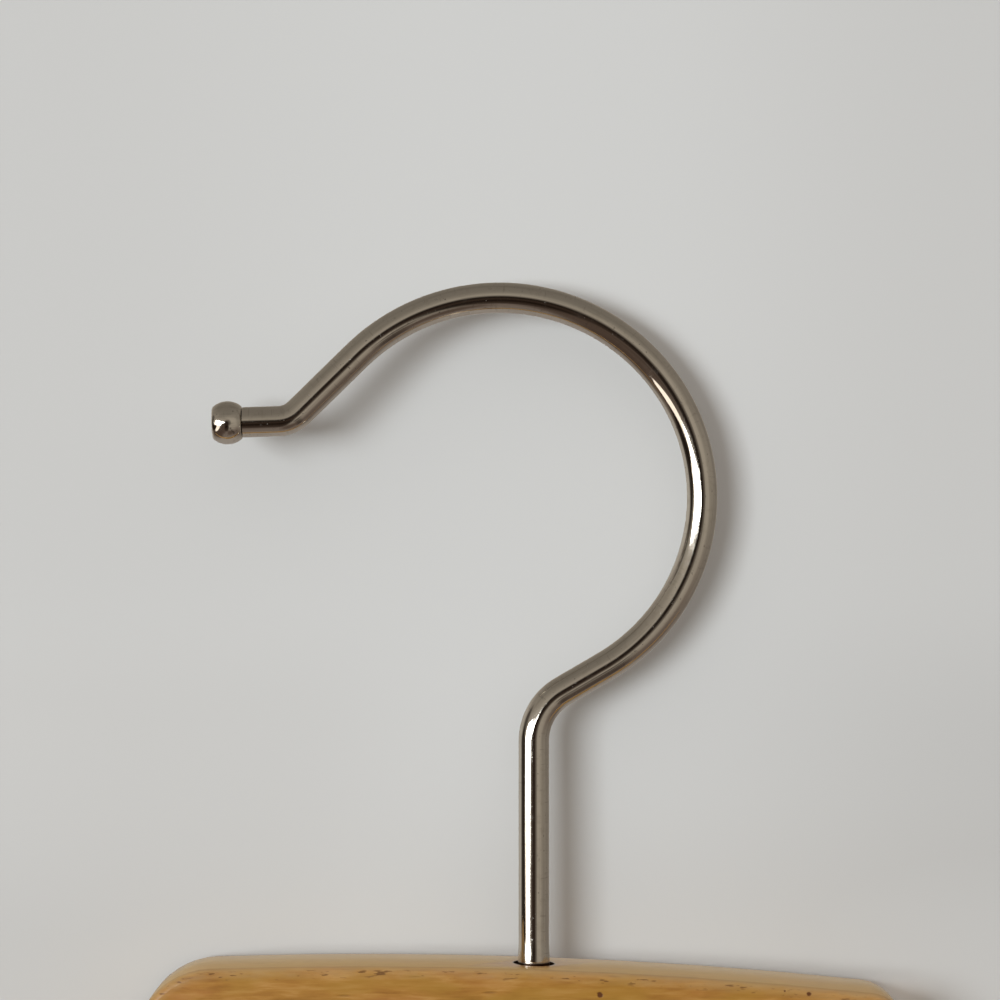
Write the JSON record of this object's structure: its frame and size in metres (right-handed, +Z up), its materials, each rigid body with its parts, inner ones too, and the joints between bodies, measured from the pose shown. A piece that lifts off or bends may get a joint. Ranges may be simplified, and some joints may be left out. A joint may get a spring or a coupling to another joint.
{
  "type": "wooden clothes hanger",
  "caption": "Flat wooden clothes hanger with a raised crown, sloping shoulders with strap notches, a round trouser bar in a ribbed sleeve and a round steel hook that turns in the wood.",
  "frame": {"origin": "the point inside the top of the hook's loop that sits on a rail, on the wire's mid-plane", "axes": "+Z up along the hook's shank, +X to the right as seen from the front, -Y out of the front face"},
  "size_m": [0.445, 0.012, 0.2198],
  "materials": {
    "hook_plating": "bright nickel plating, warm grey, with fine draw marks",
    "zinc": "zinc plated, satin",
    "board_wood": "honey-brown beech under a semi-gloss lacquer, grain along the shoulders, arrises rounded",
    "bar_wood": "turned beech dowel, semi-gloss lacquer, grain along the bar",
    "sleeve_vinyl": "clear soft vinyl with fine lengthwise ribs",
    "pin_steel": "bright drawn steel"
  },
  "bodies": {
    "hook": {"hook_wire": "hook_plating", "hook_ball_tip": "hook_plating", "hook_nut": "zinc"},
    "board": {"shoulder_board": "board_wood", "hook_washer": "zinc", "trouser_bar": "bar_wood", "bar_sleeve": "sleeve_vinyl", "bar_pin_left": "pin_steel", "bar_pin_right": "pin_steel"}
  },
  "joints": [
    {"name": "hook_swivel", "type": "hinge", "parent": "hook", "child": "board", "pos_m": [0.00429, 0, -0.08096], "axis": [0, 0, 1], "continuous": true}
  ]
}
